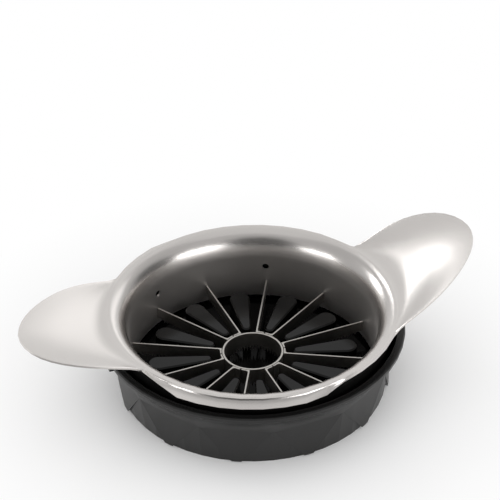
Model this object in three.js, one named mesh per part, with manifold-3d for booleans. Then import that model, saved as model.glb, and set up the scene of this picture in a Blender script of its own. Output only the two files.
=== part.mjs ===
import * as THREE from 'three';
import { mergeVertices } from 'three/addons/utils/BufferGeometryUtils.js';
import Module from 'manifold-3d';

const wasm = await Module();
wasm.setup();
const { Manifold, Mesh } = wasm;

// Apple slicer wedger press: a cutter with two wing handles that lifts off a round base.
// Millimetres, +Z up, +X along the handles, origin on the floor under the centre of the base.
// The cutter is modelled from its own datum, the tips of the skirt, and then set in the base.

// Pattern
const bladeCount = 12;
const coreToothCount = 60;
const bladeToothCount = 23;
const pegAzimuths = [60.5, 119, 240.5, 299];
const lugAzimuths = [0, 180];

// Clearances
const clearance = 0.3;
const nestClearance = 0.35;
const overrun = 4;
const weldTolerance = 0.0001;

// Steel collar, heights from the tips of the skirt
const steelThickness = 0.8;
const throatRadius = 53.2;
const throatHeight = 2.2;
const wallLean = 6.2;
const lipWidth = 2.5;
const lipHeight = 34.5;
const lipRise = 0.6;
const lipDrop = 3.7;
const hemWidth = 1.3;
const hemDepth = 5.3;
const hemMiddleAngle = 64.7;
const hemFullAngle = 26;

// Wing handles, each with a wide side and a narrow side
const wingLength = 40.2;
const wingRise = 13.5;
const wingBow = 2;
const wingTipRound = 14;
const wideWaistAngle = 43;
const wideShoulderReach = 8.8;
const wideHalfWidth = 34.1;
const narrowWaistAngle = 21;
const narrowWaistRise = 0.3;
const narrowShoulderReach = 14.8;
const narrowHalfWidth = 22.5;

// Core ring and blades
const coreRadius = 13.3;
const coreWall = 0.8;
const coreToothDepth = 3;
const coreTipHeight = 1.5;
const bladeTopHeight = 10.7;
const bladeThickness = 0.6;
const bladeRootHeight = 4.2;
const bladeHeelHeight = 5.8;
const bladeToothDepth = 1.4;
const bladeHeelLength = 3.1;
const bladeFootBend = 1.2;

// Skirt
const skirtWall = 1;
const skirtTipGap = 1.5;
const skirtCreaseGap = 2;
const skirtCreaseHeight = 18.6;
const skirtHemGap = 0.7;
const skirtTopGap = 2.6;
const skirtNotch = 1.6;
const skirtTipWidth = 4;
const skirtApexWidth = 4;

// Pegs of the skirt and their holes in the collar
const pegRadius = 1.3;
const pegHeight = 17.9;
const pegRecess = 0.2;

// Base
const rimGap = 3.3;
const rimFlare = 5.3;
const rimWidth = 3.2;
const rimDepth = 1.8;
const rimEdgeRound = 0.5;
const rimGrooveWidth = 1.5;
const rimGrooveDepth = 0.6;
const rimRidgeWidth = 0.7;
const baseWall = 1.2;
const baseFloor = 2.5;
const baseCreaseDrop = 4.1;
const baseTipGap = 1.3;
const baseTipWidth = 4;
const baseTipLift = 0.8;
const baseApexWidth = 0.4;

// Pusher pads on the floor of the base
const padWallGap = 7.35;
const padWidth = 9;
const padTopHeight = 12;
const padCoreGap = 4.7;
const padInnerWidth = 4;
const padEdgeRound = 0.6;

// Lugs under the rim of the base
const lugWidth = 4.5;
const lugHeight = 3;
const lugDrop = 1.2;
const lugReach = 0.7;

// Shape shares
const facetShare = 0.5;
const wallFootShare = 0.33;
const wallHeadShare = 0.36;
const wallLeanShare = 0.62;
const lipRiseShare = 0.55;
const lipTurnShare = 0.62;
const hemStartShare = 0.22;
const hemEndShare = 0.65;
const fanShare = 1 / 3;
const wingRootSlopeShare = 0.35;
const wingEdgeSlopeShare = 0.2;
const wideShares = { slope: 0.46, tip: 0.4, shoulder: 0.51, waist: 0.19 };
const narrowShares = { slope: 0.08, tip: 0.55, shoulder: 0.58, waist: 0.1 };
const skirtBowShare = 1.5;
const rimBowShare = 1.7;
const hollowShares = [0, 0.4, 0.7, 1];

// Facets
const columnsPerSector = 4;
const wideColumns = 16;
const narrowColumns = 12;
const hemColumns = 14;
const wallRows = 3;
const lipRows = 3;
const sheetRows = 4;
const bandRows = 3;
const roundSegments = 12;
const footSegments = 2;
const padSegments = 5;
const padHollowSegments = 2;

// Values that follow
const fullTurn = 2 * Math.PI;
const sector = fullTurn / bladeCount;
const halfSector = sector / 2;
const wallTopRadius = throatRadius + wallLean;
const wallTopHeight = lipHeight - lipDrop;
const lipRadius = wallTopRadius + lipWidth;
const hemRadius = lipRadius + hemWidth;
const hemHeight = lipHeight - hemDepth;
const wingReach = hemRadius + wingLength;
const wingTipHeight = lipHeight + wingRise;
const hemMiddle = THREE.MathUtils.degToRad(hemMiddleAngle);
const hemFull = THREE.MathUtils.degToRad(hemFullAngle);
const cutterSeat = baseFloor + clearance;
const bladeEndRadius = throatRadius - clearance;
const skirtTipRadius = throatRadius + steelThickness + clearance + skirtWall + skirtTipGap;
const skirtTopRadius = hemRadius - steelThickness - skirtHemGap;
const skirtTopHeight = lipHeight - steelThickness - skirtTopGap;
const baseHeight = cutterSeat + hemHeight - rimGap;
const baseCreaseHeight = cutterSeat + skirtCreaseHeight - baseCreaseDrop;
const padReach = throatRadius - padWallGap;

// Radius and height along the drawn wall of the collar, from its foot to the start of the lip
function wallCurve() {
  const rise = wallTopHeight - throatHeight;
  return new THREE.CubicBezierCurve(
    new THREE.Vector2(throatRadius, throatHeight),
    new THREE.Vector2(throatRadius, throatHeight + rise * wallFootShare),
    new THREE.Vector2(wallTopRadius - wallLean * wallLeanShare, wallTopHeight - rise * wallHeadShare),
    new THREE.Vector2(wallTopRadius, wallTopHeight));
}

const wallLine = wallCurve();

// Radius of the inner face of the wall at a height
function wallRadiusAt(height) {
  let low = 0;
  let high = 1;
  for (let step = 0; step < 40; step += 1) {
    const middle = (low + high) / 2;
    if (wallLine.getPoint(middle).y < height) {
      low = middle;
    } else {
      high = middle;
    }
  }
  return wallLine.getPoint(low).x;
}

const skirtCreaseRadius = wallRadiusAt(skirtCreaseHeight) + steelThickness + skirtCreaseGap + skirtWall;

// Radius of a wall whose cross-section is part circle, part polygon with corners between the tips
function facetRadius(cornerRadius, azimuth, share) {
  const fromTip = azimuth - sector * Math.round(azimuth / sector);
  const flat = Math.cos(halfSector) / Math.cos(fromTip);
  return cornerRadius * (1 - share * (1 - flat));
}

// Corner radius that gives a wanted radius in the middle of a facet
function cornerFromMiddle(middleRadius) {
  return middleRadius / (1 - facetShare * (1 - Math.cos(halfSector)));
}

function lerp(a, b, share) {
  return a + (b - a) * share;
}

// Radius at height zero of a cone through two known points
function coneFoot(nearRadius, nearHeight, farRadius, farHeight) {
  const share = nearHeight / farHeight;
  return (nearRadius - farRadius * share) / (1 - share);
}

// Corner radius of the proud surface of the skirt at a height above its tips
function skirtProud(height) {
  const tipCorner = cornerFromMiddle(skirtTipRadius);
  if (height <= skirtCreaseHeight) {
    return lerp(tipCorner, skirtCreaseRadius, height / skirtCreaseHeight);
  }
  const share = (height - skirtCreaseHeight) / (skirtTopHeight - skirtCreaseHeight);
  return lerp(skirtCreaseRadius, skirtTopRadius, share ** skirtBowShare);
}

// The base is nested round the skirt, so its radii follow from the skirt
const baseCreaseRadius = skirtProud(baseCreaseHeight - cutterSeat) + nestClearance + baseWall;
const baseTipRadius = skirtTipRadius + baseTipGap + baseWall;
const baseFootRadius = coneFoot(
  skirtTipRadius + nestClearance + baseWall, cutterSeat, baseCreaseRadius, baseCreaseHeight);
const baseRimRadius = baseCreaseRadius + rimFlare;

// The recessed surface of the skirt clears the foot of the collar wall
const skirtFootRadius = coneFoot(
  throatRadius + steelThickness + clearance + skirtWall,
  throatHeight - skirtNotch, skirtCreaseRadius, skirtCreaseHeight - skirtNotch);

// Cutter and join helpers
function asManifold(geometry) {
  const bare = geometry.clone();
  bare.deleteAttribute('normal');
  bare.deleteAttribute('uv');
  const merged = mergeVertices(bare, weldTolerance);
  const mesh = new Mesh({
    numProp: 3,
    vertProperties: new Float32Array(merged.attributes.position.array),
    triVerts: new Uint32Array(merged.index.array),
  });
  mesh.merge();
  return new Manifold(mesh);
}

function asGeometry(manifold) {
  const mesh = manifold.getMesh();
  const geometry = new THREE.BufferGeometry();
  geometry.setAttribute('position', new THREE.BufferAttribute(new Float32Array(mesh.vertProperties), 3));
  geometry.setIndex(new THREE.BufferAttribute(new Uint32Array(mesh.triVerts), 1));
  return geometry;
}

function joined(solids) {
  return Manifold.union(solids.map(asManifold));
}

function cut(solid, cutters) {
  return solid.subtract(Manifold.union(cutters));
}

// A closed body from a grid of points, columns round the axis and each column a closed loop
function loopBody(columns) {
  const count = columns.length;
  const rows = columns[0].length;
  const positions = [];
  const indices = [];
  columns.forEach((column) => column.forEach((point) => positions.push(point.x, point.y, point.z)));
  for (let i = 0; i < count; i += 1) {
    const next = (i + 1) % count;
    for (let j = 0; j < rows; j += 1) {
      const up = (j + 1) % rows;
      const a = i * rows + j;
      const b = next * rows + j;
      const c = next * rows + up;
      const d = i * rows + up;
      indices.push(a, b, c, a, c, d);
    }
  }
  const geometry = new THREE.BufferGeometry();
  geometry.setAttribute('position', new THREE.Float32BufferAttribute(positions, 3));
  geometry.setIndex(indices);
  return geometry;
}

// A point from cylindrical coordinates
function polar(radius, azimuth, height) {
  return new THREE.Vector3(radius * Math.cos(azimuth), radius * Math.sin(azimuth), height);
}

// A ring whose section is a counter-clockwise list of radius and height, made per azimuth
function ringBody(columnCount, sectionAt) {
  const columns = [];
  for (let i = 0; i < columnCount; i += 1) {
    const azimuth = (fullTurn * i) / columnCount;
    columns.push(sectionAt(azimuth).map(([radius, height]) => polar(radius, azimuth, height)));
  }
  return loopBody(columns);
}

// A solid of stacked sections with a pole at each end
function towerBody(columnCount, sectionAt) {
  const rings = sectionAt(0).length;
  const positions = [];
  const indices = [];
  for (let i = 0; i < columnCount; i += 1) {
    const azimuth = (fullTurn * i) / columnCount;
    sectionAt(azimuth).forEach(([radius, height]) => {
      const point = polar(radius, azimuth, height);
      positions.push(point.x, point.y, point.z);
    });
  }
  const heights = sectionAt(0).map(([, height]) => height);
  const bottom = columnCount * rings;
  const top = bottom + 1;
  positions.push(0, 0, heights[0], 0, 0, heights[rings - 1]);
  for (let i = 0; i < columnCount; i += 1) {
    const next = (i + 1) % columnCount;
    for (let j = 0; j + 1 < rings; j += 1) {
      const a = i * rings + j;
      const b = next * rings + j;
      indices.push(a, b, b + 1, a, b + 1, a + 1);
    }
    indices.push(bottom, next * rings, i * rings);
    indices.push(top, i * rings + rings - 1, next * rings + rings - 1);
  }
  const geometry = new THREE.BufferGeometry();
  geometry.setAttribute('position', new THREE.Float32BufferAttribute(positions, 3));
  geometry.setIndex(indices);
  return geometry;
}

// An outline drawn across and up, pushed outward from the axis at an azimuth
function radialPrism(outline, fromRadius, toRadius, azimuth) {
  const shape = new THREE.Shape(outline.map(([across, up]) => new THREE.Vector2(across, up)));
  const geometry = new THREE.ExtrudeGeometry(shape, { depth: toRadius - fromRadius, bevelEnabled: false });
  const frame = new THREE.Matrix4().makeBasis(
    new THREE.Vector3(-Math.sin(azimuth), Math.cos(azimuth), 0),
    new THREE.Vector3(0, 0, 1),
    new THREE.Vector3(Math.cos(azimuth), Math.sin(azimuth), 0));
  geometry.translate(0, 0, fromRadius);
  geometry.applyMatrix4(frame);
  return geometry;
}

// A round bar along a radius
function radialBar(radius, fromRadius, toRadius, azimuth, height) {
  const geometry = new THREE.CylinderGeometry(radius, radius, toRadius - fromRadius, roundSegments);
  geometry.rotateZ(-Math.PI / 2);
  geometry.translate((fromRadius + toRadius) / 2, 0, height);
  geometry.rotateZ(azimuth);
  return geometry;
}

// The azimuths of the tips, or those midway between them
function azimuths(offset) {
  return Array.from({ length: bladeCount }, (unused, k) => offset + k * sector);
}

// Faceted shells: the skirt and the base share one way of making proud and recessed triangles

// Up-pointing triangles that lie between two tips
function recessOutline(spec) {
  const halfChord = spec.tipRadius * Math.sin(halfSector);
  const foot = halfChord - spec.tipWidth / 2;
  const apex = spec.apexWidth / 2;
  const slope = (foot - apex) / (spec.creaseHeight - spec.tipHeight);
  const footBelow = foot + slope * overrun;
  return [
    [-footBelow, spec.tipHeight - overrun],
    [footBelow, spec.tipHeight - overrun],
    [apex, spec.creaseHeight],
    [-apex, spec.creaseHeight],
  ];
}

// Down-pointing triangles hollowed behind the proud faces
function pocketOutline(spec) {
  const halfChord = spec.creaseRadius * Math.sin(halfSector) - spec.apexWidth / 2;
  const rise = spec.creaseHeight - spec.tipHeight;
  const slope = (halfChord - spec.tipWidth / 2) / rise;
  const wallAcross = spec.wall * Math.hypot(1, slope);
  const top = halfChord - wallAcross;
  const bottomHeight = spec.creaseHeight - top / slope;
  return [
    [0, bottomHeight],
    [top, spec.creaseHeight],
    [top, spec.creaseHeight + spec.wall],
    [-top, spec.creaseHeight + spec.wall],
    [-top, spec.creaseHeight],
  ];
}

// Sleeve outside the recessed cone, limited to the triangles between the tips
function recessCutter(spec) {
  const far = spec.creaseRadius + overrun;
  const sleeve = asManifold(ringBody(spec.columns, () => [
    [spec.coneAt(spec.lowHeight - overrun), spec.lowHeight - overrun],
    [far, spec.lowHeight - overrun],
    [far, spec.creaseHeight],
    [spec.coneAt(spec.creaseHeight), spec.creaseHeight],
  ]));
  const triangles = azimuths(halfSector).map((azimuth) =>
    radialPrism(recessOutline(spec), spec.innerLimit, far, azimuth));
  return sleeve.intersect(joined(triangles));
}

// Rings of the hollow inside the recessed cone, from a low height to the crease
function hollowRings(spec, fromHeight, azimuth) {
  return hollowShares.map((share) => {
    const height = lerp(fromHeight, spec.creaseHeight, share);
    const proud = facetRadius(spec.proudAt(Math.max(height, 0)), azimuth, facetShare);
    return [Math.min(spec.coneAt(height), proud) - spec.wall, height];
  });
}

// Hollow behind the proud faces
function pocketCutter(spec) {
  const hollow = asManifold(towerBody(spec.columns, (azimuth) => [
    [facetRadius(spec.proudAt(spec.floorHeight), azimuth, facetShare) - spec.wall, spec.floorHeight],
    [facetRadius(spec.proudAt(spec.creaseHeight), azimuth, facetShare) - spec.wall, spec.creaseHeight],
  ]));
  const triangles = azimuths(0).map((azimuth) =>
    radialPrism(pocketOutline(spec), spec.innerLimit, spec.creaseRadius + overrun, azimuth));
  return hollow.intersect(joined(triangles));
}

// Steel collar with its two wings, one drawn sheet

// The two sides of a wing, each from the tip to its waist on the hem
const wideSide = {
  waist: THREE.MathUtils.degToRad(wideWaistAngle),
  waistHeight: lipHeight,
  shoulderReach: hemRadius + wideShoulderReach,
  halfWidth: wideHalfWidth,
  shares: wideShares,
};
const narrowSide = {
  waist: THREE.MathUtils.degToRad(narrowWaistAngle),
  waistHeight: lipHeight + narrowWaistRise,
  shoulderReach: hemRadius + narrowShoulderReach,
  halfWidth: narrowHalfWidth,
  shares: narrowShares,
};

// Free edge of one side of a wing in plan, from the tip to the waist
function wingOutline({ waist, shoulderReach, halfWidth, shares }) {
  const corner = new THREE.Vector2(hemRadius * Math.cos(waist), hemRadius * Math.sin(waist));
  const tipPull = shares.tip * (wingReach - shoulderReach);
  const shoulderPull = shares.shoulder * (shoulderReach - corner.x);
  const waistPull = shares.waist * (shoulderReach - corner.x);
  const outline = new THREE.Path();
  outline.moveTo(wingReach, 0);
  outline.bezierCurveTo(
    wingReach, wingTipRound,
    shoulderReach + tipPull, halfWidth - shares.slope * tipPull,
    shoulderReach, halfWidth);
  outline.bezierCurveTo(
    shoulderReach - shoulderPull, halfWidth + shares.slope * shoulderPull,
    corner.x + waistPull * Math.sin(waist), corner.y - waistPull * Math.cos(waist),
    corner.x, corner.y);
  return outline;
}

const wideOutline = wingOutline(wideSide);
const narrowOutline = wingOutline(narrowSide);

// Height of the free edge over the reach of a wing
function wingEdgeHeight(side, reach) {
  const start = hemRadius * Math.cos(side.waist);
  const share = (reach - start) / (wingReach - start);
  return lerp(side.waistHeight, wingTipHeight, share) + wingBow * 4 * share * (1 - share);
}

// 1 where the edge is folded down as a full hem, 0 where it stays a narrow flange or a wing
function foldAmount(azimuth) {
  const away = Math.abs(azimuth - hemMiddle);
  return 1 - THREE.MathUtils.smoothstep(away, hemFull, hemMiddle - narrowSide.waist);
}

// Free edge of the sheet for an azimuth from one wide waist to the next
function sheetEdge(azimuth) {
  if (azimuth > narrowSide.waist) {
    const share = (azimuth - narrowSide.waist) / (Math.PI - wideSide.waist - narrowSide.waist);
    const flange = lerp(narrowSide.waistHeight, wideSide.waistHeight, share);
    return polar(hemRadius, azimuth, lerp(flange, hemHeight, foldAmount(azimuth)));
  }
  if (azimuth < 0) {
    const point = wideOutline.getPointAt(-azimuth / wideSide.waist);
    return new THREE.Vector3(point.x, -point.y, wingEdgeHeight(wideSide, point.x));
  }
  const point = narrowOutline.getPointAt(azimuth / narrowSide.waist);
  return new THREE.Vector3(point.x, point.y, wingEdgeHeight(narrowSide, point.x));
}

// One column of the upper face of the sheet, from the foot of the wall over the lip to the free edge
function sheetColumn(azimuth) {
  const fold = foldAmount(azimuth);
  const crest = lipHeight + lipRise * Math.cos(azimuth) ** 2;
  const points = [];
  for (let row = 0; row <= wallRows; row += 1) {
    const point = wallLine.getPoint(row / wallRows);
    points.push(polar(point.x, azimuth, point.y));
  }
  const start = polar(lipRadius, azimuth, crest);
  const end = sheetEdge(azimuth);
  const flat = Math.hypot(end.x - start.x, end.y - start.y);
  const slope = (wingRootSlopeShare * flat) / (wingReach - lipRadius);
  const lean = wallLine.getTangent(1);
  const rise = crest - wallTopHeight;
  const lip = new THREE.CubicBezierCurve(
    new THREE.Vector2(wallTopRadius, wallTopHeight),
    new THREE.Vector2(wallTopRadius + lean.x * rise * lipRiseShare, wallTopHeight + lean.y * rise * lipRiseShare),
    new THREE.Vector2(lipRadius - lipWidth * lipTurnShare, crest - lipWidth * lipTurnShare * slope),
    new THREE.Vector2(lipRadius, crest));
  for (let row = 1; row <= lipRows; row += 1) {
    const point = lip.getPoint(row / lipRows);
    points.push(polar(point.x, azimuth, point.y));
  }
  const length = Math.hypot(flat, end.z - start.z);
  const endAngle = lerp(Math.atan(wingEdgeSlopeShare), -Math.PI / 2, fold);
  const startPull = lerp(fanShare, hemStartShare, fold) * length;
  const endPull = lerp(fanShare, hemEndShare, fold) * length;
  const sheet = new THREE.CubicBezierCurve(
    new THREE.Vector2(0, start.z),
    new THREE.Vector2(startPull, start.z + startPull * slope),
    new THREE.Vector2(flat - endPull * Math.cos(endAngle), end.z - endPull * Math.sin(endAngle)),
    new THREE.Vector2(flat, end.z));
  for (let row = 1; row <= sheetRows; row += 1) {
    const point = sheet.getPoint(row / sheetRows);
    const share = point.x / flat;
    points.push(new THREE.Vector3(lerp(start.x, end.x, share), lerp(start.y, end.y, share), point.y));
  }
  return points;
}

// Azimuths spread evenly over an arc, the last left to the next arc
function spread(from, to, count) {
  return Array.from({ length: count }, (unused, i) => lerp(from, to, i / count));
}

// All columns: half a turn with one wing and one stretch of hem, and the same again turned about the axis
function sheetColumns() {
  const half = [
    ...spread(-wideSide.waist, 0, wideColumns),
    ...spread(0, narrowSide.waist, narrowColumns),
    ...spread(narrowSide.waist, Math.PI - wideSide.waist, hemColumns),
  ].map(sheetColumn);
  const turned = half.map((column) => column.map((point) => new THREE.Vector3(-point.x, -point.y, point.z)));
  return [...half, ...turned];
}

// Unit normals of the upper face, from the neighbours of each point
function columnNormals(columns) {
  const count = columns.length;
  return columns.map((column, i) => column.map((point, j) => {
    const before = columns[(i + count - 1) % count][j];
    const after = columns[(i + 1) % count][j];
    const below = column[Math.max(j - 1, 0)];
    const above = column[Math.min(j + 1, column.length - 1)];
    const round = new THREE.Vector3().subVectors(after, before);
    const along = new THREE.Vector3().subVectors(above, below);
    return round.cross(along).normalize();
  }));
}

function collarBody() {
  const front = sheetColumns();
  const normals = columnNormals(front);
  const columns = front.map((column, i) => {
    const back = column.map((point, j) => point.clone().addScaledVector(normals[i][j], steelThickness));
    return [...column, ...back.reverse()];
  });
  return loopBody(columns.map((column) => column.reverse()));
}

function makeCollar() {
  const holes = pegAzimuths.map((degrees) => asManifold(radialBar(
    pegRadius + clearance, throatRadius - overrun, lipRadius, THREE.MathUtils.degToRad(degrees), pegHeight)));
  return asGeometry(cut(asManifold(collarBody()), holes));
}

// Core ring with a toothed lower edge
function makeCore() {
  const columns = [];
  for (let i = 0; i < coreToothCount * 2; i += 1) {
    const azimuth = (fullTurn * i) / (coreToothCount * 2);
    const bottom = i % 2 === 0 ? coreTipHeight : coreTipHeight + coreToothDepth;
    columns.push([
      polar(coreRadius - coreWall, azimuth, bottom),
      polar(coreRadius, azimuth, bottom),
      polar(coreRadius, azimuth, bladeTopHeight),
      polar(coreRadius - coreWall, azimuth, bladeTopHeight),
    ]);
  }
  return loopBody(columns);
}

// Side of a blade: plain top edge, toothed bottom edge, heel at the wall
function bladeOutline() {
  const start = coreRadius + clearance;
  const toothStart = start + bladeThickness;
  const toothEnd = bladeEndRadius - bladeHeelLength;
  const outline = [[start, bladeTopHeight], [start, bladeRootHeight], [toothStart, bladeRootHeight]];
  for (let tooth = 0; tooth < bladeToothCount; tooth += 1) {
    const tip = (tooth + 0.5) / bladeToothCount;
    const root = (tooth + 1) / bladeToothCount;
    const tipHeight = lerp(bladeRootHeight, bladeHeelHeight, tip) - bladeToothDepth;
    outline.push([lerp(toothStart, toothEnd, tip), tipHeight]);
    outline.push([lerp(toothStart, toothEnd, root), lerp(bladeRootHeight, bladeHeelHeight, root)]);
  }
  outline.push([bladeEndRadius, bladeHeelHeight]);
  outline.push([bladeEndRadius, bladeTopHeight]);
  return outline;
}

// Foot of a blade, bent along the core ring toward its partner on one side
function bladeFoot(side) {
  const inner = coreRadius + clearance;
  const outer = inner + bladeThickness;
  const end = halfSector - clearance / inner;
  const bendAngle = bladeFootBend / outer;
  const halfAngle = bladeThickness / 2 / outer;
  const outline = new THREE.Path();
  outline.moveTo(inner, 0);
  outline.absarc(0, 0, inner, 0, end, false);
  outline.lineTo(outer * Math.cos(end), outer * Math.sin(end));
  outline.absarc(0, 0, outer, end, halfAngle + bendAngle, true);
  outline.quadraticCurveTo(
    outer * Math.cos(halfAngle), outer * Math.sin(halfAngle),
    outer + bladeFootBend, bladeThickness / 2);
  outline.lineTo(outer + bladeFootBend, 0);
  const points = outline.getPoints(footSegments);
  const shape = new THREE.Shape(points.map((point) => new THREE.Vector2(point.x, side * point.y)));
  const geometry = new THREE.ExtrudeGeometry(shape, {
    depth: bladeTopHeight - bladeRootHeight,
    bevelEnabled: false,
  });
  geometry.translate(0, 0, bladeRootHeight);
  return geometry;
}

function makeBlade(k) {
  const shape = new THREE.Shape(bladeOutline().map(([radius, height]) => new THREE.Vector2(radius, height)));
  const plate = new THREE.ExtrudeGeometry(shape, { depth: bladeThickness, bevelEnabled: false });
  plate.rotateX(Math.PI / 2);
  plate.translate(0, bladeThickness / 2, 0);
  const side = k % 2 === 0 ? -1 : 1;
  const geometry = asGeometry(joined([plate, bladeFoot(side)]));
  geometry.rotateZ(k * sector);
  return geometry;
}

// What the faceted shell of the skirt is made from
const skirtSpec = {
  columns: bladeCount * columnsPerSector,
  wall: skirtWall,
  tipWidth: skirtTipWidth,
  apexWidth: skirtApexWidth,
  tipRadius: skirtTipRadius,
  tipHeight: 0,
  lowHeight: 0,
  floorHeight: 0,
  creaseRadius: skirtCreaseRadius,
  creaseHeight: skirtCreaseHeight,
  innerLimit: throatRadius - overrun,
  proudAt: skirtProud,
  coneAt: (height) => lerp(
    skirtFootRadius, skirtCreaseRadius, (height - skirtNotch) / (skirtCreaseHeight - skirtNotch)),
};

// Heights of the rings of the band above the crease
function bandHeights(from, to) {
  return Array.from({ length: bandRows + 1 }, (unused, row) => lerp(from, to, row / bandRows));
}

// Share of flat facet left in the band at a height
function bandShare(height, crease, top) {
  const share = Math.max(0, (height - crease) / (top - crease));
  return facetShare * (1 - Math.min(1, share)) ** 2;
}

function skirtBandRadius(height, azimuth) {
  const share = bandShare(height, skirtCreaseHeight, skirtTopHeight);
  return facetRadius(skirtProud(height), azimuth, share);
}

function makeSkirt() {
  const heights = bandHeights(skirtCreaseHeight, skirtTopHeight);
  const outer = asManifold(towerBody(skirtSpec.columns, (azimuth) => [
    [facetRadius(skirtProud(0), azimuth, facetShare), 0],
    ...heights.map((height) => [skirtBandRadius(height, azimuth), height]),
  ]));
  const hollow = asManifold(towerBody(skirtSpec.columns, (azimuth) => [
    ...hollowRings(skirtSpec, -overrun, azimuth),
    ...heights.slice(1).map((height) => [skirtBandRadius(height, azimuth) - skirtWall, height]),
    [skirtBandRadius(skirtTopHeight, azimuth) - skirtWall, skirtTopHeight + overrun],
  ]));
  const gaps = azimuths(halfSector).map((azimuth) => asManifold(radialPrism(
    notchOutline(), skirtSpec.innerLimit, skirtSpec.creaseRadius + overrun, azimuth)));
  return asGeometry(cut(outer, [recessCutter(skirtSpec), hollow, pocketCutter(skirtSpec), ...gaps]));
}

// The space between two teeth below the recessed edge
function notchOutline() {
  const sides = recessOutline(skirtSpec);
  const [lowLeft, lowRight, highRight] = sides;
  const share = (skirtNotch - lowRight[1]) / (highRight[1] - lowRight[1]);
  const half = lerp(lowRight[0], highRight[0], share);
  return [lowLeft, lowRight, [half, skirtNotch], [-half, skirtNotch]];
}

// Peg of the skirt in its hole in the collar wall
function makePeg(degrees) {
  const azimuth = THREE.MathUtils.degToRad(degrees);
  const outside = Math.min(skirtSpec.coneAt(pegHeight), skirtBandRadius(pegHeight, azimuth)) - skirtWall;
  return radialBar(pegRadius, wallRadiusAt(pegHeight) + pegRecess, outside - clearance, azimuth, pegHeight);
}

// What the faceted shell of the base is made from
const baseSpec = {
  columns: bladeCount * columnsPerSector,
  wall: baseWall,
  tipWidth: baseTipWidth,
  apexWidth: baseApexWidth,
  tipRadius: baseTipRadius,
  tipHeight: baseTipLift,
  lowHeight: 0,
  floorHeight: baseFloor,
  creaseRadius: baseCreaseRadius,
  creaseHeight: baseCreaseHeight,
  innerLimit: padReach,
  proudAt: (height) => lerp(cornerFromMiddle(baseTipRadius), baseCreaseRadius, height / baseCreaseHeight),
  coneAt: (height) => lerp(baseFootRadius, baseCreaseRadius, height / baseCreaseHeight),
};

// Radius of the flare of the base between the crease and the rim
function flareRadius(height, azimuth) {
  const top = baseHeight - rimDepth;
  const share = Math.max(0, (height - baseCreaseHeight) / (top - baseCreaseHeight));
  const radius = lerp(baseCreaseRadius, baseRimRadius, share ** rimBowShare);
  return facetRadius(radius, azimuth, bandShare(height, baseCreaseHeight, top));
}

// Teardrop outline of a pad, round at its outer end and narrower toward the core, drawn in by an inset
function padOutline(inset) {
  const outerHalf = padWidth / 2;
  const innerHalf = padInnerWidth / 2;
  const innerCentre = coreRadius + padCoreGap + innerHalf;
  const outerCentre = padReach - outerHalf;
  const shape = new THREE.Shape();
  shape.moveTo(innerCentre, inset - innerHalf);
  shape.lineTo(outerCentre, inset - outerHalf);
  shape.absarc(outerCentre, 0, outerHalf - inset, -Math.PI / 2, Math.PI / 2, false);
  shape.lineTo(innerCentre, innerHalf - inset);
  shape.absarc(innerCentre, 0, innerHalf - inset, Math.PI / 2, 1.5 * Math.PI, false);
  return shape;
}

function makePad(azimuth) {
  const bottom = baseFloor / 2;
  const geometry = new THREE.ExtrudeGeometry(padOutline(0), {
    depth: padTopHeight - bottom - padEdgeRound,
    bevelEnabled: true,
    bevelThickness: padEdgeRound,
    bevelSize: padEdgeRound,
    bevelOffset: -padEdgeRound,
    bevelSegments: 1,
    curveSegments: padSegments,
  });
  geometry.translate(0, 0, bottom);
  geometry.rotateZ(azimuth);
  return geometry;
}

// Hollow under a pad, open at the bottom
function makePadHollow(azimuth) {
  const geometry = new THREE.ExtrudeGeometry(padOutline(baseWall), {
    depth: padTopHeight - baseWall + overrun,
    bevelEnabled: false,
    curveSegments: padHollowSegments,
  });
  geometry.translate(0, 0, -overrun);
  geometry.rotateZ(azimuth);
  return geometry;
}

// Small lug on the outside, just under the rim
function makeLug(degrees) {
  const top = baseHeight - lugDrop;
  const bottom = top - lugHeight;
  const outline = [
    [-lugWidth / 2, bottom], [lugWidth / 2, bottom], [lugWidth / 2, top], [-lugWidth / 2, top],
  ];
  const azimuth = THREE.MathUtils.degToRad(degrees);
  return radialPrism(outline, baseRimRadius - rimWidth, baseRimRadius + lugReach, azimuth);
}

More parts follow.
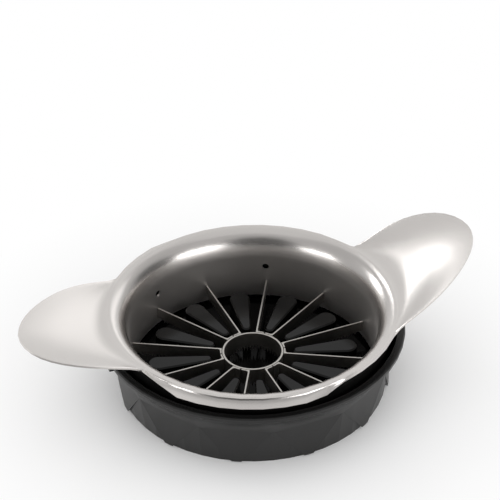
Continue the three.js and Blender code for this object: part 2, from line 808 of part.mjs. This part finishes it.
function makeBase() {
  const flareTop = baseHeight - rimDepth;
  const heights = bandHeights(baseCreaseHeight, flareTop);
  const rimInner = baseRimRadius - rimWidth;
  const grooveOuter = rimInner + rimRidgeWidth + rimGrooveWidth;
  const outer = asManifold(towerBody(baseSpec.columns, (azimuth) => [
    [facetRadius(baseSpec.proudAt(0), azimuth, facetShare), 0],
    ...heights.map((height) => [flareRadius(height, azimuth), height]),
    [baseRimRadius, baseHeight - rimEdgeRound],
    [baseRimRadius - rimEdgeRound, baseHeight],
  ]));
  const hollow = asManifold(towerBody(baseSpec.columns, (azimuth) => [
    ...hollowRings(baseSpec, baseFloor, azimuth),
    [rimInner, baseHeight - rimDepth],
    [rimInner, baseHeight + overrun],
  ]));
  const groove = asManifold(ringBody(baseSpec.columns, () => [
    [rimInner + rimRidgeWidth, baseHeight - rimGrooveDepth],
    [grooveOuter, baseHeight - rimGrooveDepth],
    [grooveOuter, baseHeight + overrun],
    [rimInner + rimRidgeWidth, baseHeight + overrun],
  ]));
  const footGap = asManifold(ringBody(baseSpec.columns, () => [
    [baseSpec.coneAt(-overrun), -overrun],
    [baseSpec.creaseRadius + overrun, -overrun],
    [baseSpec.creaseRadius + overrun, baseTipLift],
    [baseSpec.coneAt(baseTipLift), baseTipLift],
  ]));
  const pockets = pocketCutter(baseSpec);
  const shell = cut(outer, [recessCutter(baseSpec), footGap, hollow, pockets, groove]);
  const pads = azimuths(halfSector).map((azimuth) => asManifold(makePad(azimuth)));
  const lugs = lugAzimuths.map((degrees) => asManifold(makeLug(degrees)));
  const lugShell = cut(Manifold.union(lugs), [hollow, groove]);
  const padHollows = azimuths(halfSector).map((azimuth) => asManifold(makePadHollow(azimuth)));
  return asGeometry(cut(Manifold.union([shell, lugShell, ...pads]), padHollows));
}

const steel = new THREE.MeshStandardMaterial({ color: 0xc9c5c0, roughness: 0.34, metalness: 1 });
const bladeSteel = new THREE.MeshStandardMaterial({ color: 0xb4aea8, roughness: 0.4, metalness: 1 });
const plastic = new THREE.MeshStandardMaterial({ color: 0x2b2927, roughness: 0.55, metalness: 0 });
const glossPlastic = new THREE.MeshStandardMaterial({ color: 0x1c1b1a, roughness: 0.3, metalness: 0 });

function node(name, geometry, material) {
  geometry.computeVertexNormals();
  const mesh = new THREE.Mesh(geometry, material);
  mesh.name = name;
  return mesh;
}

function cutterNodes() {
  const nodes = [
    node('collar', makeCollar(), steel),
    node('core_ring', makeCore(), bladeSteel),
    node('skirt', makeSkirt(), plastic),
  ];
  for (let k = 0; k < bladeCount; k += 1) {
    nodes.push(node(`blade_${k + 1}`, makeBlade(k), bladeSteel));
  }
  pegAzimuths.forEach((degrees, k) => nodes.push(node(`skirt_peg_${k + 1}`, makePeg(degrees), plastic)));
  nodes.forEach((mesh) => mesh.geometry.translate(0, 0, cutterSeat));
  return nodes;
}

const part = new THREE.Group();
part.name = 'apple_slicer_press';
part.add(node('base', makeBase(), glossPlastic), ...cutterNodes());

export default part;
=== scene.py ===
import math

import bmesh
import bpy
from mathutils import Matrix, Vector


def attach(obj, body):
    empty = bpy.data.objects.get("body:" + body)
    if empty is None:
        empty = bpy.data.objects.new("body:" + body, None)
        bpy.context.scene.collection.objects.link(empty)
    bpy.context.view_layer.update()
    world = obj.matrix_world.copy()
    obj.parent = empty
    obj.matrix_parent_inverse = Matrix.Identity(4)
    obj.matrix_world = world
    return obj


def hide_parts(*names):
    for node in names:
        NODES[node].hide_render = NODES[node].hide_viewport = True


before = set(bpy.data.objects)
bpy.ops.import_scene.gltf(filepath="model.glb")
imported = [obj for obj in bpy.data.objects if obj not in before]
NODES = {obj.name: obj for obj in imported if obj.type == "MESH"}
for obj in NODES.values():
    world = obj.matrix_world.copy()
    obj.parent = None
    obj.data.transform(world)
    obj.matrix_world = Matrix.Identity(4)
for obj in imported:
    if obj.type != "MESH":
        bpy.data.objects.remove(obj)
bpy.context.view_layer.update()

# Camera, as in the photograph. Degrees, metres, pixels of a 500 pixel frame, and millimetres for the sensor.
IMAGE_SIZE = 500
FOCAL_PIXELS = 2170.6
SENSOR_WIDTH = 36.0
CAMERA_DISTANCE = 0.9117
CAMERA_ELEVATION = 34.86
CAMERA_DIP = 0.082
CAMERA_ROLL = 0.65
CAMERA_NEAR = 0.01
CAMERA_FAR = 20.0
PART_TURN = 22.8
TARGET_ACROSS = -0.00073
TARGET_HEIGHT = 0.0685

# Sheet of the collar as the frame has it, in metres. Heights are over the seat of the cutter.
SEAT = 0.0028
SHEET_THICKNESS = 0.0008
THROAT_RADIUS = 0.0532
THROAT_HEIGHT = 0.0022
WALL_LEAN = 0.0062
LIP_WIDTH = 0.0025
LIP_HEIGHT = 0.0345
LIP_RISE = 0.0006
LIP_DROP = 0.0037
WALL_FOOT = (THROAT_RADIUS, THROAT_HEIGHT)
WALL_TOP = (THROAT_RADIUS + WALL_LEAN, LIP_HEIGHT - LIP_DROP)
LIP_RADIUS = WALL_TOP[0] + LIP_WIDTH

# Shares that place the handles of the sheet's curves, and its rows in the wall and in the lip
WALL_FOOT_SHARE = 0.33
WALL_HEAD_SHARE = 0.36
WALL_LEAN_SHARE = 0.62
LIP_RISE_SHARE = 0.55
LIP_TURN_SHARE = 0.62
SHEET_ROWS = 3

# The same sheet with its lip rolled over wide: a nearly straight wall, then one curve to the crest.
# The foot of the wall stays, and so does what lies further from the old line than the wall's reach.
FOOT_END = 0.0026
ROLL_START = 0.0225
ROLL_RADIUS = 0.0534
ROLL_LEAN = 0.01
ROLL_SHARE = 0.55
ROLL_ROWS = 24
WALL_REACH = 1.3 * SHEET_THICKNESS

# Where the frame's sheet is divided before it is rolled
ZONE_MARGIN = 1.5 * SHEET_THICKNESS
CREST_MARGIN = 0.00005
LIP_CUTS = 2
WALL_CUTS = [0.0180, 0.0205]
ROLL_CUTS = 8
ROLL_CUT_STEP = 0.001

# Points closer than this are one
WELD = 0.000002

# Shading of the rolled sheet: cosines between a face and the sheet, and between faces that shade as one
SHEET_FACING = 0.8
LEVEL_FACING = 0.7

# Shading of the other nodes: heights over the table, and angles in degrees up to which an edge is rounded
SKIRT_CREASE = 0.0213
BASE_CREASE_DROP = 0.0041
BASE_CREASE = SKIRT_CREASE - BASE_CREASE_DROP
SMALL_PIECE_ANGLE = 26.0
ROUND_ANGLE = 28.0
FACET_ANGLE = 4.0

# Zones of the base: the wall lies beyond the pads, the rim above the wall, and the floor inside is lowest.
# A face is level where the height of its normal is more than the last value.
BASE_PADS_END = 0.0525
BASE_RIM = 0.0255
BASE_FLOOR = 0.003
LEVEL_NORMAL = 0.5

# Grain of the materials, and the radii between which the dull inner wall turns into the lip
STREAK_STRETCH = 0.9
STREAK_SHARE = 0.6
STREAKS = dict(scale=1.0, detail=4.0, roughness=0.6)
STEEL_CLOUDS = dict(scale=22.0, detail=3.0, roughness=0.55)
PLASTIC_GRAIN = dict(scale=2600.0, detail=3.0, roughness=0.6)
PLASTIC_CLOUDS = dict(scale=30.0, detail=2.0, roughness=0.5)
NOISE_ENDS = (0.3, 0.7)
WALL_BLUR_ENDS = (0.0535, 0.0550)
GRAIN_DEPTH = 0.0001
PLASTIC_IOR = 1.49

# Floor. Strength one is white, and the lengths are metres from the object's axis.
TABLE_REACH = 6.0
FLOOR_GREY = 0.95
FLOOR_ROUGH = 0.7
FLOOR_FADE_ENDS = (0.05, 0.15)
FLOOR_FRONT_STRENGTH = 0.46
FLOOR_FRONT_ENDS = (0.07, 0.12)

# Strength of the world as light, and the spots that mirror images show in it. Azimuth 0 is to the right in
# the photograph and 90 is behind the object. A spot begins at its edge, so many degrees from its middle,
# and is full nearer than the second angle.
WORLD_SOFT = 0.8
WORLD_SPOTS = {
    "camera": dict(azimuth=262.0, elevation=16.0, edge=38.0, full=20.0, outside=1.0, inside=0.2),
    "below": dict(azimuth=264.0, elevation=-34.0, edge=44.0, full=26.0, outside=1.0, inside=0.7),
    "right": dict(azimuth=0.0, elevation=5.0, edge=32.0, full=14.0, outside=1.0, inside=0.2),
    "behind": dict(azimuth=82.0, elevation=20.0, edge=52.0, full=14.0, outside=0.53, inside=0.8),
}

# Lamps, all turned to one point. The angles are those of the spots.
LAMP_AIM = (0.0, 0.0, 0.05)
LAMPS = {
    "lamp_top": dict(azimuth=90.0, elevation=85.0, distance=1.5, size=(1.6, 1.6), energy=1.5),
    "lamp_left": dict(azimuth=116.0, elevation=39.5, distance=1.4, size=(0.44, 0.14), energy=0.85),
    "lamp_low": dict(azimuth=145.0, elevation=18.0, distance=1.4, size=(0.32, 0.45), energy=1.8),
    "lamp_right": dict(azimuth=62.0, elevation=27.0, distance=1.4, size=(0.90, 0.45), energy=0.7),
    "lamp_front_right": dict(azimuth=316.0, elevation=14.0, distance=1.2, size=(0.85, 0.40), energy=3.3),
    "lamp_front_left": dict(azimuth=211.0, elevation=12.0, distance=1.2, size=(0.60, 0.28), energy=2.0),
}


def turned(vector):
    """A vector of the photograph's frame, turned into the frame of the object."""
    return Matrix.Rotation(math.radians(-PART_TURN), 3, "Z") @ Vector(vector)


def toward(azimuth, elevation, distance=1.0):
    """A place round the object, given in the photograph's frame."""
    flat = distance * math.cos(math.radians(elevation))
    across = flat * math.cos(math.radians(azimuth))
    away = flat * math.sin(math.radians(azimuth))
    return turned((across, away, distance * math.sin(math.radians(elevation))))


def new_object(name, data):
    """An object that is shown in the scene."""
    made = bpy.data.objects.new(name, data)
    bpy.context.scene.collection.objects.link(made)
    return made


def make_camera():
    """The photograph's camera, dipped and rolled a little from a plain look at its target."""
    data = bpy.data.cameras.new("camera")
    data.sensor_width = SENSOR_WIDTH
    data.lens = FOCAL_PIXELS * SENSOR_WIDTH / IMAGE_SIZE
    data.clip_start = CAMERA_NEAR
    data.clip_end = CAMERA_FAR
    elevation = math.radians(CAMERA_ELEVATION)
    aim = math.radians(CAMERA_ELEVATION + CAMERA_DIP)
    roll = math.radians(CAMERA_ROLL)
    target = Vector((TARGET_ACROSS, 0.0, TARGET_HEIGHT))
    place = target + CAMERA_DISTANCE * Vector((0.0, -math.cos(elevation), math.sin(elevation)))
    right = Vector((1.0, 0.0, 0.0))
    up = Vector((0.0, math.sin(aim), math.cos(aim)))
    back = Vector((0.0, -math.cos(aim), math.sin(aim)))
    rolled_right = right * math.cos(roll) - up * math.sin(roll)
    rolled_up = right * math.sin(roll) + up * math.cos(roll)
    matrix = Matrix([turned(rolled_right), turned(rolled_up), turned(back)]).transposed().to_4x4()
    matrix.translation = turned(place)
    camera = new_object("camera", data)
    camera.matrix_world = matrix
    bpy.context.scene.camera = camera


make_camera()


class Graph:
    """Short hand for building a tree of shader nodes."""

    # Sockets of the mix node: its two values and its result
    MIX_SOCKETS = {"FLOAT": (2, 3, 0), "RGBA": (6, 7, 2)}

    def __init__(self, tree):
        self.tree = tree
        self.tree.nodes.clear()

    def link(self, source, target):
        self.tree.links.new(source, target)

    def add(self, kind, **values):
        node = self.tree.nodes.new(kind)
        for key, value in values.items():
            setattr(node, key, value)
        return node

    def feed(self, socket, value):
        """Links a socket, or sets it to a constant."""
        if hasattr(value, "is_output"):
            self.link(value, socket)
        else:
            socket.default_value = value

    def work_out(self, operation, first, second=0.0):
        node = self.add("ShaderNodeMath", operation=operation)
        self.feed(node.inputs[0], first)
        self.feed(node.inputs[1], second)
        return node.outputs[0]

    def position(self):
        return self.add("ShaderNodeTexCoord").outputs["Object"]

    def radius(self, x, y):
        squares = self.work_out("ADD", self.work_out("MULTIPLY", x, x), self.work_out("MULTIPLY", y, y))
        return self.work_out("SQRT", squares)

    def ray(self, name):
        return self.add("ShaderNodeLightPath").outputs[name]

    def mirrored(self):
        """One where the ray comes from gloss or through glass."""
        return self.work_out("MAXIMUM", self.ray("Is Glossy Ray"), self.ray("Is Transmission Ray"))

    def split(self, vector):
        node = self.add("ShaderNodeSeparateXYZ")
        self.link(vector, node.inputs[0])
        return node.outputs

    def join(self, *values):
        node = self.add("ShaderNodeCombineXYZ")
        for socket, value in zip(node.inputs, values):
            self.feed(socket, value)
        return node.outputs[0]

    def along(self, vector, direction):
        node = self.add("ShaderNodeVectorMath", operation="DOT_PRODUCT")
        self.link(vector, node.inputs[0])
        node.inputs[1].default_value = direction
        return node.outputs["Value"]

    def noise(self, vector, scale, detail, roughness):
        node = self.add("ShaderNodeTexNoise")
        self.link(vector, node.inputs["Vector"])
        node.inputs["Scale"].default_value = scale
        node.inputs["Detail"].default_value = detail
        node.inputs["Roughness"].default_value = roughness
        return node.outputs["Fac"]

    def ramp(self, value, ends, results, kind="LINEAR"):
        """Leads from the first result at the first end to the second one at the second, and no further."""
        node = self.add("ShaderNodeMapRange", clamp=True, interpolation_type=kind)
        self.link(value, node.inputs["Value"])
        node.inputs["From Min"].default_value, node.inputs["From Max"].default_value = ends
        node.inputs["To Min"].default_value, node.inputs["To Max"].default_value = results
        return node.outputs[0]

    def mix(self, kind, factor, first, second):
        node = self.add("ShaderNodeMix", data_type=kind)
        first_socket, second_socket, result = self.MIX_SOCKETS[kind]
        self.link(factor, node.inputs[0])
        self.feed(node.inputs[first_socket], first)
        self.feed(node.inputs[second_socket], second)
        return node.outputs[result]


class Surface(Graph):
    """A material with one principled shader."""

    def __init__(self, name):
        self.material = bpy.data.materials.new(name)
        self.material.use_nodes = True
        super().__init__(self.material.node_tree)
        self.output = self.add("ShaderNodeOutputMaterial")
        self.shader = self.add("ShaderNodeBsdfPrincipled")
        self.link(self.shader.outputs["BSDF"], self.output.inputs["Surface"])

    def put(self, name, value):
        self.feed(self.shader.inputs[name], value)

    def bump(self, height, strength):
        node = self.add("ShaderNodeBump")
        node.inputs["Strength"].default_value = strength
        node.inputs["Distance"].default_value = GRAIN_DEPTH
        self.link(height, node.inputs["Height"])
        self.put("Normal", node.outputs[0])


def steel_material(name, light, dark, rough, wall_rough, streak_scale, bump):
    """Satin steel, brushed finely round the axis. The inner wall is duller, by wall_rough."""
    steel = Surface(name)
    place = steel.position()
    x, y, z = steel.split(place)
    radius = steel.radius(x, y)
    turn = steel.work_out("MULTIPLY", steel.work_out("ARCTAN2", y, x), STREAK_STRETCH)
    outward = steel.work_out("MULTIPLY", radius, streak_scale)
    upward = steel.work_out("MULTIPLY", z, streak_scale)
    streaks = steel.noise(steel.join(turn, outward, upward), **STREAKS)
    clouds = steel.noise(place, **STEEL_CLOUDS)
    streak_part = steel.work_out("MULTIPLY", streaks, STREAK_SHARE)
    cloud_part = steel.work_out("MULTIPLY", clouds, 1.0 - STREAK_SHARE)
    tone = steel.work_out("ADD", streak_part, cloud_part)
    steel.put("Base Color", steel.mix("RGBA", steel.ramp(tone, NOISE_ENDS, (0.0, 1.0)), dark, light))
    steel.put("Metallic", 1.0)
    satin = steel.ramp(tone, NOISE_ENDS, rough)
    blur = steel.ramp(radius, WALL_BLUR_ENDS, (wall_rough, 0.0))
    steel.put("Roughness", steel.work_out("ADD", satin, blur))
    steel.bump(streaks, bump)
    return steel.material


def plastic_material(name, light, dark, rough, specular, bump):
    """Moulded plastic with a fine grain."""
    plastic = Surface(name)
    place = plastic.position()
    clouds = plastic.noise(place, **PLASTIC_CLOUDS)
    plastic.put("Base Color", plastic.mix("RGBA", clouds, dark, light))
    plastic.put("Metallic", 0.0)
    plastic.put("Roughness", plastic.ramp(clouds, NOISE_ENDS, rough))
    plastic.put("IOR", PLASTIC_IOR)
    plastic.put("Specular IOR Level", specular)
    plastic.bump(plastic.noise(place, **PLASTIC_GRAIN), bump)
    return plastic.material


# Materials
COLLAR_STEEL = steel_material(
    "handle_steel", light=(0.72, 0.69, 0.667, 1.0), dark=(0.68, 0.652, 0.63, 1.0),
    rough=(0.22, 0.27), wall_rough=0.2, streak_scale=2600.0, bump=0.02)
BLADE_STEEL = steel_material(
    "blade_steel", light=(0.56, 0.54, 0.51, 1.0), dark=(0.50, 0.48, 0.45, 1.0),
    rough=(0.30, 0.38), wall_rough=0.0, streak_scale=1500.0, bump=0.03)
SKIRT_PLASTIC = plastic_material(
    "skirt_plastic", light=(0.0050, 0.0048, 0.0046, 1.0), dark=(0.0036, 0.0035, 0.0034, 1.0),
    rough=(0.27, 0.33), specular=0.5, bump=0.10)
BASE_OUTSIDE = plastic_material(
    "base_outside", light=(0.010, 0.0097, 0.0094, 1.0), dark=(0.008, 0.0078, 0.0076, 1.0),
    rough=(0.32, 0.38), specular=0.5, bump=0.12)
POLISHED = dict(light=(0.0018, 0.0018, 0.0018, 1.0), dark=(0.0012, 0.0012, 0.0012, 1.0),
                rough=(0.07, 0.12), bump=0.01)
BASE_INSIDE = plastic_material("base_inside", specular=0.30, **POLISHED)
# Painted shade: the floor inside the base is the same polished plastic but reflects far less, so it looks
# dark as if in deep shade under the cutter.
BASE_FLOOR_SHADE = plastic_material("base_floor_shade", specular=0.06, **POLISHED)


def dress(nodes, *materials):
    """Gives nodes these materials in place of their own."""
    for node in nodes:
        node.data.materials.clear()
        for material in materials:
            node.data.materials.append(material)


def dress_base(node):
    """Satin outside and below, polished inside, and a painted shade on the floor inside: it reflects far
    less, so it shows darkest.
    """
    outside, inside, floor_shade = range(3)
    dress([node], BASE_OUTSIDE, BASE_INSIDE, BASE_FLOOR_SHADE)
    for polygon in node.data.polygons:
        x, y, z = polygon.center
        normal = polygon.normal
        wall = math.hypot(x, y) > BASE_PADS_END and normal.x * x + normal.y * y > 0.0
        rim = z > BASE_RIM and normal.z > LEVEL_NORMAL
        if wall or rim or normal.z < -LEVEL_NORMAL:
            polygon.material_index = outside
        else:
            # Level faces on the floor inside get the painted shade, a much weaker reflection.
            polygon.material_index = inside if z > BASE_FLOOR else floor_shade


def bezier(points, share):
    """A point of a cubic curve."""
    rest = 1.0 - share
    weights = (rest ** 3, 3.0 * share * rest ** 2, 3.0 * share ** 2 * rest, share ** 3)
    return tuple(sum(w * p[i] for w, p in zip(weights, points)) for i in range(2))


def between(first, second, share):
    """What lies a share of the way from the first to the second."""
    return tuple(a + share * (b - a) for a, b in zip(first, second))


class Line:
    """A line of radii and heights that rises along the sheet and ends level at the crest."""

    def __init__(self, points):
        self.points = points
        self.totals = [0.0]
        for before, after in zip(points, points[1:]):
            self.totals.append(self.totals[-1] + math.hypot(after[0] - before[0], after[1] - before[1]))
        self.normals = [self.normal(i) for i in range(len(points) - 1)] + [(0.0, -1.0)]

    def normal(self, i):
        """Unit normal at a point before the last, away from the axis."""
        before, after = self.points[max(i - 1, 0)], self.points[i + 1]
        along = (after[0] - before[0], after[1] - before[1])
        size = math.hypot(*along)
        return along[1] / size, -along[0] / size

    def at(self, length):
        """Point and unit normal at a length."""
        i = 0
        while i < len(self.points) - 2 and self.totals[i + 1] < length:
            i += 1
        share = (length - self.totals[i]) / (self.totals[i + 1] - self.totals[i])
        share = min(max(share, 0.0), 1.0)
        normal = between(self.normals[i], self.normals[i + 1], share)
        size = math.hypot(*normal)
        return between(self.points[i], self.points[i + 1], share), tuple(value / size for value in normal)

    def nearest(self, radius, height):
        """Length of the nearest point, and how far away it is."""
        best = (math.inf, 0.0)
        for i, (start, end) in enumerate(zip(self.points, self.points[1:])):
            along = (end[0] - start[0], end[1] - start[1])
            size = self.totals[i + 1] - self.totals[i]
            share = ((radius - start[0]) * along[0] + (height - start[1]) * along[1]) / size ** 2
            share = min(max(share, 0.0), 1.0)
            away = math.hypot(radius - start[0] - share * along[0], height - start[1] - share * along[1])
            best = min(best, (away, self.totals[i] + share * size))
        return best[1], best[0]

    def length_at(self, height):
        """Length at which the line first reaches a height."""
        i = next(i for i, point in enumerate(self.points) if point[1] > height)
        share = (height - self.points[i - 1][1]) / (self.points[i][1] - self.points[i - 1][1])
        return self.totals[i - 1] + share * (self.totals[i] - self.totals[i - 1])


def sheet_line(crest):
    """The sheet as the frame has it, from the foot of the wall to the crest of the lip."""
    rise = WALL_TOP[1] - WALL_FOOT[1]
    lean = WALL_LEAN_SHARE * WALL_LEAN
    head = WALL_HEAD_SHARE * rise
    wall = (WALL_FOOT, (WALL_FOOT[0], WALL_FOOT[1] + WALL_FOOT_SHARE * rise),
            (WALL_TOP[0] - lean, WALL_TOP[1] - head), WALL_TOP)
    angle = math.atan2(lean, head)
    drop = LIP_RISE_SHARE * (crest - WALL_TOP[1])
    lip = (WALL_TOP, (WALL_TOP[0] + drop * math.sin(angle), WALL_TOP[1] + drop * math.cos(angle)),
           (LIP_RADIUS - LIP_TURN_SHARE * LIP_WIDTH, crest), (LIP_RADIUS, crest))
    wall_rows = [bezier(wall, i / SHEET_ROWS) for i in range(SHEET_ROWS + 1)]
    lip_rows = [bezier(lip, i / SHEET_ROWS) for i in range(1, SHEET_ROWS + 1)]
    return Line(wall_rows + lip_rows)


def roll_line(crest):
    """The wide roll, from its start in the wall to the crest of the lip."""
    rise = ROLL_SHARE * (crest - ROLL_START)
    width = ROLL_SHARE * (LIP_RADIUS - ROLL_RADIUS)
    curve = ((ROLL_RADIUS, ROLL_START), (ROLL_RADIUS + ROLL_LEAN * rise, ROLL_START + rise),
             (LIP_RADIUS - width, crest), (LIP_RADIUS, crest))
    return Line([bezier(curve, i / ROLL_ROWS) for i in range(ROLL_ROWS + 1)])


def rolled_point(old, length, height, crest):
    """Point and normal of the rolled sheet for a length and height along the old line."""
    if height <= ROLL_START:
        size = math.hypot(1.0, ROLL_LEAN)
        return (ROLL_RADIUS - ROLL_LEAN * (ROLL_START - height), height), (1.0 / size, -ROLL_LEAN / size)
    start = old.length_at(ROLL_START)
    roll = roll_line(crest)
    return roll.at((length - start) / (old.totals[-1] - start) * roll.totals[-1])


def rolled_place(place):
    """Where a vertex of the frame's sheet goes, and the rolled sheet's normal there, or None if it stays."""
    radius = math.hypot(place.x, place.y)
    height = place.z - SEAT
    x, y = place.x / radius, place.y / radius
    crest = LIP_HEIGHT + LIP_RISE * x ** 2
    old = sheet_line(crest)
    length, away = old.nearest(radius, height)
    point, normal = old.at(length)
    if away > WALL_REACH or point[1] <= FOOT_END:
        return place, None
    new_point, new_normal = rolled_point(old, length, point[1], crest)
    offset = (radius - point[0]) * normal[0] + (height - point[1]) * normal[1]
    radius += new_point[0] - point[0] + offset * (new_normal[0] - normal[0])
    height += new_point[1] - point[1] + offset * (new_normal[1] - normal[1])
    sheet_normal = Vector((x * new_normal[0], y * new_normal[0], new_normal[1]))
    return Vector((x * radius, y * radius, height + SEAT)), sheet_normal


def corner_normals(form, sheet_normals):
    """A normal for each corner of each face.

    On the roll it is the sheet's own, and elsewhere the mean of those faces round the vertex that are nearly
    level with this one.
    """
    normals = []
    for face in form.faces:
        for vertex in face.verts:
            sheet = sheet_normals[vertex]
            facing = 0.0 if sheet is None else face.normal.dot(sheet)
            if abs(facing) > SHEET_FACING:
                normals.append(sheet * math.copysign(1.0, facing))
                continue
            level = [other for other in vertex.link_faces if other.normal.dot(face.normal) > LEVEL_FACING]
            total = sum((other.normal * other.calc_area() for other in level), Vector())
            normals.append(total.normalized() if total.length > 0.0 else face.normal.copy())
    return normals


def in_lip(vertex):
    """Between the head of the wall and the crest."""
    radius = math.hypot(vertex.co.x, vertex.co.y)
    return radius < LIP_RADIUS + CREST_MARGIN and vertex.co.z > SEAT + WALL_TOP[1] - SHEET_THICKNESS


def in_wall(vertex):
    """Not beyond the head of the wall."""
    radius = math.hypot(vertex.co.x, vertex.co.y)
    return radius < WALL_TOP[0] + ZONE_MARGIN and vertex.co.z < SEAT + WALL_TOP[1] + ZONE_MARGIN


def divide_sheet(form):
    """Divides the lip both ways and cuts the wall into rows, so that the roll comes out round."""
    edges = [edge for edge in form.edges if all(in_lip(vertex) for vertex in edge.verts)]
    bmesh.ops.subdivide_edges(form, edges=edges, cuts=LIP_CUTS, use_grid_fill=True)
    for height in WALL_CUTS + [ROLL_START + ROLL_CUT_STEP * i for i in range(ROLL_CUTS)]:
        faces = [face for face in form.faces if all(in_wall(vertex) for vertex in face.verts)]
        edges = {edge for face in faces for edge in face.edges}
        corners = {vertex for face in faces for vertex in face.verts}
        bmesh.ops.bisect_plane(form, geom=faces + list(edges) + list(corners), dist=WELD,
                               plane_co=(0.0, 0.0, SEAT + height), plane_no=(0.0, 0.0, 1.0))


def make_collar():
    """The drawn sheet with its soft wide roll from the wall to the lip."""
    form = bmesh.new()
    form.from_mesh(NODES["collar"].data)
    bmesh.ops.remove_doubles(form, verts=form.verts, dist=WELD)
    divide_sheet(form)
    sheet_normals = {}
    for vertex in form.verts:
        vertex.co, sheet_normals[vertex] = rolled_place(vertex.co.copy())
    form.normal_update()
    for face in form.faces:
        face.smooth = True
    normals = corner_normals(form, sheet_normals)
    mesh = bpy.data.meshes.new("collar_sheet")
    form.to_mesh(mesh)
    form.free()
    mesh.normals_split_custom_set(normals)
    mesh.materials.append(COLLAR_STEEL)
    piece = new_object("collar_sheet", mesh)
    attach(piece, "cutter")
    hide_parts("collar")


def mark_sharp(mesh, angle, crease, facet_angle):
    """Marks the edges that turn by more than the angle, or by more than the facet angle below the crease."""
    # Faces that meet at an edge can have vertices of their own there, so edges are matched by place
    ends = [tuple(round(value / WELD) for value in vertex.co) for vertex in mesh.vertices]
    sides = {}
    for polygon in mesh.polygons:
        for first, last in polygon.edge_keys:
            sides.setdefault(frozenset((ends[first], ends[last])), []).append(polygon.normal.copy())
    for edge in mesh.edges:
        first, last = edge.vertices
        height = min(mesh.vertices[first].co.z, mesh.vertices[last].co.z)
        limit = math.cos(math.radians(angle if height >= crease else facet_angle))
        normals = sides[frozenset((ends[first], ends[last]))]
        edge.use_edge_sharp = any(normals[0].dot(other) < limit for other in normals[1:])


def smooth(nodes, angle, crease=0.0, facet_angle=0.0):
    """Rounds the shading over the edges that aren't marked sharp."""
    for node in nodes:
        mark_sharp(node.data, angle, crease, facet_angle)
        for polygon in node.data.polygons:
            polygon.use_smooth = True
        weld = node.modifiers.new("weld", "WELD")
        weld.merge_threshold = WELD
        split = node.modifiers.new("split", "EDGE_SPLIT")
        split.use_edge_angle = False
        node.modifiers.new("even", "WEIGHTED_NORMAL")


def make_floor():
    """Pale floor that keeps the shadow near the object and is white further out.

    In mirror images its front is dimmer, so that the metal shows a darker band there.
    """
    mesh = bpy.data.meshes.new("floor")
    corners = [(-TABLE_REACH, -TABLE_REACH, 0.0), (TABLE_REACH, -TABLE_REACH, 0.0),
               (TABLE_REACH, TABLE_REACH, 0.0), (-TABLE_REACH, TABLE_REACH, 0.0)]
    mesh.from_pydata([turned(corner) for corner in corners], [], [(0, 1, 2, 3)])
    floor = new_object("floor", mesh)
    paint = Surface("floor")
    paint.put("Base Color", (FLOOR_GREY, FLOOR_GREY, FLOOR_GREY, 1.0))
    paint.put("Roughness", FLOOR_ROUGH)
    paint.put("Specular IOR Level", 0.0)
    place = paint.position()
    front = paint.along(place, turned((0.0, -1.0, 0.0)))
    dim = paint.ramp(front, FLOOR_FRONT_ENDS, (0.0, 1.0 - FLOOR_FRONT_STRENGTH))
    strength = paint.work_out("SUBTRACT", 1.0, paint.work_out("MULTIPLY", dim, paint.ray("Is Glossy Ray")))
    white = paint.add("ShaderNodeEmission")
    paint.link(strength, white.inputs["Strength"])
    x, y, _ = paint.split(place)
    fade = paint.ramp(paint.radius(x, y), FLOOR_FADE_ENDS, (0.0, 1.0))
    seen = paint.work_out("MAXIMUM", paint.ray("Is Camera Ray"), paint.mirrored())
    blend = paint.add("ShaderNodeMixShader")
    paint.link(paint.work_out("MULTIPLY", fade, seen), blend.inputs[0])
    paint.link(paint.shader.outputs["BSDF"], blend.inputs[1])
    paint.link(white.outputs[0], blend.inputs[2])
    paint.link(blend.outputs[0], paint.output.inputs["Surface"])
    mesh.materials.append(paint.material)


def make_world():
    """White to the camera, even soft light on the object, and a studio with its spots in mirror images."""
    world = bpy.data.worlds.new("world")
    bpy.context.scene.world = world
    world.use_nodes = True
    graph = Graph(world.node_tree)
    direction = graph.add("ShaderNodeTexCoord").outputs["Generated"]
    studio = 1.0
    for spot in WORLD_SPOTS.values():
        near = graph.along(direction, toward(spot["azimuth"], spot["elevation"]))
        ends = [math.cos(math.radians(spot[angle])) for angle in ("edge", "full")]
        level = graph.ramp(near, ends, (spot["outside"], spot["inside"]), "SMOOTHSTEP")
        studio = graph.work_out("MULTIPLY", studio, level)
    light = graph.mix("FLOAT", graph.mirrored(), WORLD_SOFT, studio)
    background = graph.add("ShaderNodeBackground")
    background.inputs["Color"].default_value = (1.0, 1.0, 1.0, 1.0)
    graph.link(graph.work_out("MAXIMUM", light, graph.ray("Is Camera Ray")), background.inputs["Strength"])
    output = graph.add("ShaderNodeOutputWorld")
    graph.link(background.outputs[0], output.inputs[0])


def make_lamp(name, azimuth, elevation, distance, size, energy):
    data = bpy.data.lights.new(name, "AREA")
    data.shape = "RECTANGLE"
    data.size, data.size_y = size
    data.energy = energy
    lamp = new_object(name, data)
    lamp.location = toward(azimuth, elevation, distance)
    direction = turned(LAMP_AIM) - lamp.location
    lamp.rotation_euler = direction.to_track_quat("-Z", "Y").to_euler()


# Object
ring_and_blades = [NODES["core_ring"]] + [node for name, node in NODES.items() if name.startswith("blade_")]
pegs = [node for name, node in NODES.items() if name.startswith("skirt_peg_")]
dress(ring_and_blades, BLADE_STEEL)
dress([NODES["skirt"]] + pegs, SKIRT_PLASTIC)
dress_base(NODES["base"])
make_collar()
smooth(ring_and_blades + pegs, SMALL_PIECE_ANGLE)
smooth([NODES["skirt"]], ROUND_ANGLE, SKIRT_CREASE, FACET_ANGLE)
smooth([NODES["base"]], ROUND_ANGLE, BASE_CREASE, FACET_ANGLE)

# Studio
make_floor()
make_world()
for lamp_name, lamp_values in LAMPS.items():
    make_lamp(lamp_name, **lamp_values)
bpy.context.scene.view_settings.view_transform = "Standard"
